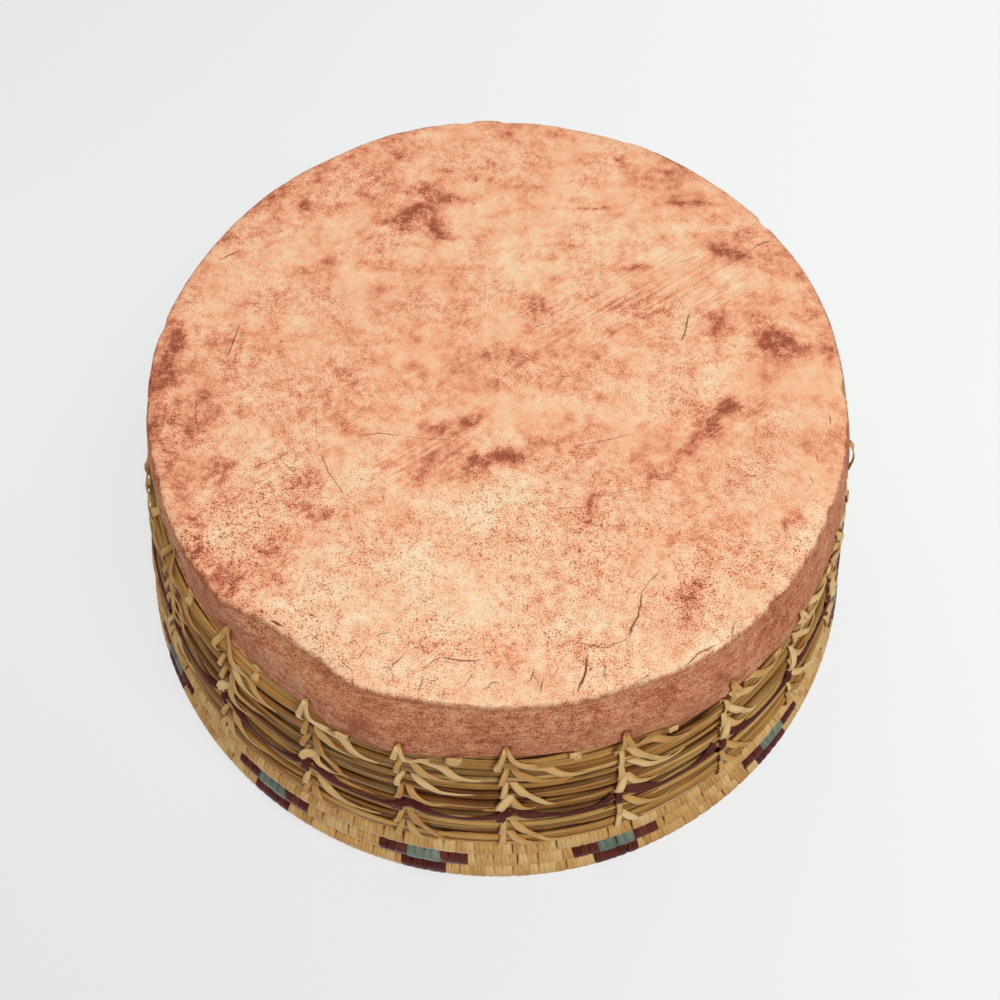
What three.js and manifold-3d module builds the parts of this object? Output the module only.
// Pine needle basket coiled on a fired clay base. Millimetres, +Z up.
// It stands on the flat underside of the clay dish, at z = 0, and opens upwards.
// Azimuths run from the front, -Y, towards +X.
import * as THREE from 'three';
import { mergeVertices } from 'three/addons/utils/BufferGeometryUtils.js';
import Module from 'manifold-3d';

const wasm = await Module();
wasm.setup();

const degree = Math.PI / 180;

// Clearance between neighbours that bear on each other
const fitGap = 0.3;

// Clay dish
const baseRadius = 100;
const wallFlare = 5.5;
const baseHeight = 22;
const wallThickness = 7;
const floorThickness = 7;
const arrisRadius = 2.4;
const lipRadius = 1.5;
const coveRadius = 6;
const facetsPerColumn = 3;

// Holes pierced through the clay wall, one for each column of stitches
const stitchColumns = 22;
const holeDiameter = 3.7;
const holeDrop = 5;
const holeFacets = 6;

// The column nearest the front, and how far the holes stray, pierced by eye
const frontColumnAzimuth = -2.7 * degree;
const pierceDrift = 1.6 * degree;
const driftWaves = 5;

// Raffia strands
const raffiaWidth = 2.8;
const raffiaThickness = 0.7;
const wrapThickness = 0.6;
const accentWidth = 2.4;
const accentThickness = 0.6;

// Needle coil: open rows first, then rows closed in by raffia up to the rim
const bundleRadius = 3.85;
const bundleSides = 6;
const openRows = 7;
const wrappedRows = 3;
// How far the first row sits outside the middle of the clay wall's edge
const rowOverhang = 0.9;
const flarePerRow = 1.62;
const flareGrowth = 0.02;
const climbSteps = 3;
const accentRow = 4;

// Colour blocks in the two outer rows of the rim
const motifCount = 13;
const frontMotifAzimuth = 8.8 * degree;
const tealLength = 10.5;
const sideBlockLength = 8.5;
const rimBlockLength = 14;
const tealThickness = 0.25;
const blockThickness = 0.5;

// Sizes that follow
const edgeRadius = baseRadius + wallFlare;
const firstRowRadius = edgeRadius - wallThickness / 2 + rowOverhang;
const holeHeight = baseHeight - holeDrop;
const cornerRatio = Math.cos(Math.PI / bundleSides);
const bundleFlat = bundleRadius * cornerRatio;
const rowSeat = raffiaThickness + 2 * fitGap;
const rowRise = 2 * bundleFlat + rowSeat;
const firstRowHeight = baseHeight + rowSeat + bundleFlat;
const rows = openRows + wrappedRows;
const columnStep = 2 * Math.PI / stitchColumns;
const roundness = (1 + Math.cos(columnStep / 2)) / 2;
const startAzimuth = frontColumnAzimuth + (Math.floor(stitchColumns / 2) + 1.5) * columnStep;
const firstStation = 1;
const wrapStation = openRows * stitchColumns;
const lastStation = rows * stitchColumns + climbSteps - 1;

const clay = new THREE.MeshStandardMaterial({ color: 0xdc9f7a, roughness: 0.92, metalness: 0 });
const needles = new THREE.MeshStandardMaterial({ color: 0xa8854e, roughness: 0.7, metalness: 0 });
const raffia = new THREE.MeshStandardMaterial({ color: 0xd2b47c, roughness: 0.75, metalness: 0 });
const burgundy = new THREE.MeshStandardMaterial({ color: 0x541e28, roughness: 0.7, metalness: 0 });
const teal = new THREE.MeshStandardMaterial({ color: 0x6f8b7f, roughness: 0.7, metalness: 0 });

// Closed mesh to solid, and back
function toSolid(geometry) {
  const bare = geometry.clone();
  bare.deleteAttribute('normal');
  bare.deleteAttribute('uv');
  const merged = mergeVertices(bare, 1e-4);
  return new wasm.Manifold(new wasm.Mesh({
    numProp: 3,
    vertProperties: new Float32Array(merged.attributes.position.array),
    triVerts: new Uint32Array(merged.index.array),
  }));
}

function toGeometry(solid) {
  const mesh = solid.getMesh();
  const geometry = new THREE.BufferGeometry();
  geometry.setAttribute('position', new THREE.BufferAttribute(mesh.vertProperties, 3));
  geometry.setIndex(new THREE.BufferAttribute(mesh.triVerts, 1));
  return geometry;
}

// The outer face of the clay wall leans out from the arris to the edge
const wallLean = (edgeRadius - baseRadius) / (baseHeight - lipRadius - arrisRadius);

function wallOuter(height) {
  return baseRadius + wallLean * (height - arrisRadius);
}

function wallInner(height) {
  return wallOuter(height) - wallThickness;
}

// A quarter turn of a profile corner, from one angle to another
function corner(centreR, centreZ, radius, fromAngle, toAngle, steps) {
  const points = [];
  for (let i = 0; i <= steps; i += 1) {
    const angle = (fromAngle + (toAngle - fromAngle) * i / steps) * degree;
    points.push(new THREE.Vector2(centreR + radius * Math.cos(angle), centreZ + radius * Math.sin(angle)));
  }
  return points;
}

// Half section of the dish: flat underside, worn arris, leaning wall, rounded edge, coved floor
function claySection() {
  const shoulder = baseHeight - lipRadius;
  const coveRadiusAtFloor = wallInner(floorThickness + coveRadius) - coveRadius;
  return [
    new THREE.Vector2(0, 0),
    ...corner(baseRadius - arrisRadius, arrisRadius, arrisRadius, -90, 0, 2),
    ...corner(edgeRadius - lipRadius, shoulder, lipRadius, 0, 90, 2),
    ...corner(edgeRadius - wallThickness + lipRadius, shoulder, lipRadius, 90, 180, 1),
    ...corner(coveRadiusAtFloor, floorThickness + coveRadius, coveRadius, 0, -90, 2),
    new THREE.Vector2(0, floorThickness),
  ];
}

// Azimuth of a station, a corner of the coil half way between two columns of stitches
function stationAzimuth(station) {
  const even = startAzimuth - station * columnStep;
  return even + pierceDrift * Math.cos(driftWaves * (even - frontColumnAzimuth));
}

function columnAzimuth(column) {
  return (stationAzimuth(column) + stationAzimuth(column + 1)) / 2;
}

// Share of a climb that a station has behind it: each round climbs over the one below at the back
function climbShare(station) {
  return Math.min((station % stitchColumns) / climbSteps, 1);
}

// The bundle swells from its thin start and thins again to its tail, filling the wedge at each climb
function swell(station) {
  const climb = climbShare(station);
  if (station < climbSteps) {
    return (rowRise * climb - rowSeat) / (2 * bundleFlat);
  }
  if (station > rows * stitchColumns) {
    return (rowRise * (1 - climb) - rowSeat) / (2 * bundleFlat);
  }
  return 1;
}

// Height of the coil's centre at a station, counted in rows above the first
function level(station) {
  const round = Math.floor(station / stitchColumns);
  const settle = (1 - swell(station)) * bundleFlat / rowRise;
  if (round === 0) {
    return -settle;
  }
  if (round === rows) {
    return rows - 1 + settle;
  }
  return round - 1 + climbShare(station);
}

// A point beside the coil's centre at a station, moved outwards and up along the flaring wall
function atStation(station, outwards, upwards) {
  const row = level(station);
  const radius = (firstRowRadius + flarePerRow * row + flareGrowth * row * row) / roundness;
  const lean = Math.atan2(flarePerRow + 2 * flareGrowth * row, rowRise);
  const r = radius + outwards * Math.cos(lean) + upwards * Math.sin(lean);
  const z = firstRowHeight + rowRise * row - outwards * Math.sin(lean) + upwards * Math.cos(lean);
  const azimuth = stationAzimuth(station);
  return new THREE.Vector3(r * Math.sin(azimuth), -r * Math.cos(azimuth), z);
}

// The coil runs straight from station to station, so a place between two is on the line that joins them
function besideCoil(place, offset) {
  const before = Math.floor(place);
  const [outBefore, upBefore] = offset(before);
  if (place === before) {
    return atStation(before, outBefore, upBefore);
  }
  const [outAfter, upAfter] = offset(before + 1);
  return atStation(before, outBefore, upBefore).lerp(atStation(before + 1, outAfter, upAfter), place - before);
}

// A corner of the bundle's section, with something added to its radius
function bundleCorner(place, index, added) {
  const angle = 2 * Math.PI * index / bundleSides;
  return besideCoil(place, (station) => {
    const radius = bundleRadius * swell(station) + added;
    return [radius * Math.cos(angle), radius * Math.sin(angle)];
  });
}

// Closed body through rings of equally many points, each ring turning from outwards to upwards
function loft(rings) {
  const sides = rings[0].length;
  const positions = rings.flat().flatMap((point) => [point.x, point.y, point.z]);
  const triangles = [];
  for (let i = 1; i < rings.length; i += 1) {
    for (let k = 0; k < sides; k += 1) {
      const here = (i - 1) * sides + k;
      const beside = (i - 1) * sides + (k + 1) % sides;
      triangles.push(here, beside, beside + sides);
      triangles.push(here, beside + sides, here + sides);
    }
  }
  const end = (rings.length - 1) * sides;
  for (let k = 1; k < sides - 1; k += 1) {
    triangles.push(0, k + 1, k);
    triangles.push(end, end + k, end + k + 1);
  }
  const geometry = new THREE.BufferGeometry();
  geometry.setAttribute('position', new THREE.Float32BufferAttribute(positions, 3));
  geometry.setIndex(triangles);
  return geometry;
}

// The places from one to another, with the coil's corners between them
function placesBetween(from, to) {
  const places = [from];
  for (let station = Math.floor(from) + 1; station < to; station += 1) {
    places.push(station);
  }
  places.push(to);
  return places;
}

function bundleRing(place, added) {
  return Array.from({ length: bundleSides }, (unused, index) => bundleCorner(place, index, added));
}

function tubeOnCoil(from, to, added) {
  return loft(placesBetween(from, to).map((place) => bundleRing(place, added)));
}

// Length along the coil as a share of the step between two stations
function stepShare(length, row) {
  const radius = firstRowRadius + flarePerRow * row + flareGrowth * row * row;
  return length / (2 * radius * Math.tan(columnStep / 2));
}

// What the closed rows' raffia takes off the bundle's radius
const wrapSkin = wrapThickness / cornerRatio;
const wrapBore = -wrapSkin;
const wrappedCore = wrapBore - fitGap / cornerRatio;
const tailStation = lastStation - 1;
const shoulder = wrapStation - stepShare(fitGap, openRows);

// The needle bundle is one unbroken coil, squeezed thinner where raffia closes it in
function needleCoil() {
  const open = placesBetween(firstStation, shoulder).map((place) => bundleRing(place, 0));
  const closed = placesBetween(shoulder, tailStation).map((place) => bundleRing(place, wrappedCore));
  return loft([...open, ...closed]);
}

// Least distance between two rounds of the coil, from points along its facing flats
function leastSelfGap() {
  let least = Infinity;
  const tops = [1, 2];
  const undersides = [5, 4];
  for (let station = firstStation; station + stitchColumns <= tailStation; station += 0.25) {
    for (let side = 0; side < tops.length; side += 1) {
      const below = bundleCorner(station, tops[side], 0);
      const above = bundleCorner(station + stitchColumns, undersides[side], 0);
      least = Math.min(least, below.distanceTo(above));
    }
  }
  return least;
}

// Raffia that closes in the rim rows: a sleeve wound along the coil and shut over its tail
function rimWrap() {
  const skin = toSolid(tubeOnCoil(wrapStation, lastStation, 0));
  const openEnd = wrapStation - stepShare(raffiaWidth, openRows);
  const bore = toSolid(tubeOnCoil(openEnd, tailStation + stepShare(fitGap, rows), wrapBore));
  return toGeometry(skin.subtract(bore));
}

// A closed row's block of another colour, wound over the raffia of the rim
function colourBlock(centre, length, row, thickness) {
  const half = stepShare(length, row) / 2;
  const spare = stepShare(fitGap, row);
  const inside = fitGap / cornerRatio;
  const outside = inside + thickness / cornerRatio;
  const skin = toSolid(tubeOnCoil(centre - half, centre + half, outside));
  return skin.subtract(toSolid(tubeOnCoil(centre - half - spare, centre + half + spare, inside)));
}

// Place of a motif on the round that it belongs to
function motifPlace(motif, row) {
  const azimuth = frontMotifAzimuth - 2 * Math.PI * motif / motifCount;
  const turns = (startAzimuth - azimuth) / (2 * Math.PI);
  return row * stitchColumns + (turns - Math.floor(turns)) * stitchColumns;
}

function tealBlock(motif) {
  const row = rows - 2;
  return toGeometry(colourBlock(motifPlace(motif, row), tealLength, row, tealThickness));
}

// Burgundy stands on both sides of the teal and, caught through it, on the rim row above
function burgundyBlock(motif) {
  const row = rows - 2;
  const centre = motifPlace(motif, row);
  const aside = stepShare((tealLength + sideBlockLength) / 2 + fitGap, row);
  const before = colourBlock(centre - aside, sideBlockLength, row, blockThickness);
  const after = colourBlock(centre + aside, sideBlockLength, row, blockThickness);
  const above = colourBlock(motifPlace(motif, row + 1), rimBlockLength, row + 1, blockThickness);
  return toGeometry(before.add(after).add(above));
}

// A column's stitches bind each open row to the one below, and the first row to the clay
function stitchShape(column) {
  const places = [];
  for (let row = 0; row < openRows; row += 1) {
    const place = row * stitchColumns + column + 0.5;
    if (place > firstStation) {
      places.push(place);
    }
  }
  const flatCorner = (place, index, added) => {
    const point = bundleCorner(place, index, added);
    return new THREE.Vector2(Math.hypot(point.x, point.y), point.z);
  };
  const bore = fitGap / cornerRatio;
  const skin = bore + raffiaThickness / cornerRatio;
  const between = (place, next, index, nextIndex) => {
    return flatCorner(place, index, skin).lerp(flatCorner(next, nextIndex, skin), 0.5);
  };
  const strandOut = fitGap + raffiaThickness;
  const shoulderHeight = baseHeight - lipRadius;
  const low = holeHeight - raffiaThickness / 2;
  const high = holeHeight + raffiaThickness / 2;
  const innerEdge = edgeRadius - wallThickness;
  const outline = [
    new THREE.Vector2(wallInner(low) - strandOut, low),
    new THREE.Vector2(wallOuter(low) + strandOut, low),
    new THREE.Vector2(edgeRadius + strandOut, shoulderHeight),
  ];
  places.forEach((place, i) => {
    outline.push(flatCorner(place, 0, skin));
    if (i < places.length - 1) {
      outline.push(between(place, places[i + 1], 1, 5));
    }
  });
  const top = places[places.length - 1];
  outline.push(flatCorner(top, 1, skin), flatCorner(top, 2, skin));
  for (let i = places.length - 1; i >= 0; i -= 1) {
    outline.push(flatCorner(places[i], 3, skin));
    if (i > 0) {
      outline.push(between(places[i], places[i - 1], 4, 2));
    }
  }
  outline.push(new THREE.Vector2(innerEdge - strandOut, shoulderHeight));

  const shape = new THREE.Shape(outline);
  shape.holes.push(new THREE.Path([
    new THREE.Vector2(wallInner(high) - fitGap, high),
    new THREE.Vector2(innerEdge - fitGap, shoulderHeight),
    new THREE.Vector2(innerEdge + lipRadius / 2, baseHeight + fitGap),
    new THREE.Vector2(edgeRadius - lipRadius / 2, baseHeight + fitGap),
    new THREE.Vector2(edgeRadius + fitGap, shoulderHeight),
    new THREE.Vector2(wallOuter(high) + fitGap, high),
  ]));
  places.forEach((place) => {
    const ring = Array.from({ length: bundleSides }, (unused, index) => flatCorner(place, index, bore));
    shape.holes.push(new THREE.Path(ring.reverse()));
  });
  return shape;
}

// A column is cut from the radial plane through its hole, as wide as the raffia
function placeInColumn(object, column) {
  const azimuth = columnAzimuth(column);
  const outwards = new THREE.Vector3(Math.sin(azimuth), -Math.cos(azimuth), 0);
  const up = new THREE.Vector3(0, 0, 1);
  const across = new THREE.Vector3().crossVectors(outwards, up);
  object.quaternion.setFromRotationMatrix(new THREE.Matrix4().makeBasis(outwards, up, across));
  object.position.copy(across).multiplyScalar(-raffiaWidth / 2);
}

// Burgundy strand along one open row: it rides over each column and lies on the needles between
function accentStrand() {
  const onNeedles = bundleRadius + fitGap;
  const onStitches = bundleRadius + (fitGap + raffiaThickness) / cornerRatio + fitGap;
  const rise = stepShare(raffiaWidth / 2 + 2 * fitGap, accentRow);
  const section = (place, inner) => {
    const outer = inner + accentThickness;
    const corners = [[outer, -1], [outer, 1], [inner, 1], [inner, -1]];
    return corners.map(([out, side]) => besideCoil(place, () => [out, side * accentWidth / 2]));
  };
  const rings = [];
  const first = accentRow * stitchColumns;
  for (let column = 0; column < stitchColumns; column += 1) {
    const middle = first + column + 0.5;
    if (column > 0) {
      rings.push(section(first + column, onNeedles));
    }
    rings.push(section(middle - rise, onStitches));
    rings.push(section(middle + rise, onStitches));
  }
  return loft(rings);
}

function clayBase() {
  const facets = stitchColumns * facetsPerColumn;
  const dish = new THREE.LatheGeometry(claySection(), facets);
  dish.rotateX(Math.PI / 2);
  let solid = toSolid(dish);
  for (let column = 0; column < stitchColumns; column += 1) {
    const azimuth = columnAzimuth(column);
    const reach = wallOuter(holeHeight) - wallThickness / 2;
    const pierce = new THREE.CylinderGeometry(holeDiameter / 2, holeDiameter / 2, 2 * wallThickness, holeFacets);
    pierce.rotateZ(azimuth);
    pierce.translate(reach * Math.sin(azimuth), -reach * Math.cos(azimuth), holeHeight);
    solid = solid.subtract(toSolid(pierce));
  }
  return toGeometry(solid);
}

const basket = new THREE.Group();

function add(name, geometry, material) {
  const mesh = new THREE.Mesh(geometry, material);
  mesh.name = name;
  basket.add(mesh);
  return mesh;
}

function numbered(name, index) {
  return `${name}_${String(index + 1).padStart(2, '0')}`;
}

add('clay_base', clayBase(), clay);
add('needle_coil', needleCoil(), needles);
add('rim_wrap', rimWrap(), raffia);
for (let column = 0; column < stitchColumns; column += 1) {
  const plate = new THREE.ExtrudeGeometry(stitchShape(column), { depth: raffiaWidth, bevelEnabled: false });
  placeInColumn(add(numbered('stitch_column', column), plate, raffia), column);
}
add('accent_strand', accentStrand(), burgundy);
for (let motif = 0; motif < motifCount; motif += 1) {
  add(numbered('teal_block', motif), tealBlock(motif), teal);
  add(numbered('burgundy_block', motif), burgundyBlock(motif), burgundy);
}

console.log(`least gap of the needle coil to itself: ${leastSelfGap().toFixed(2)} mm`);

export default basket;
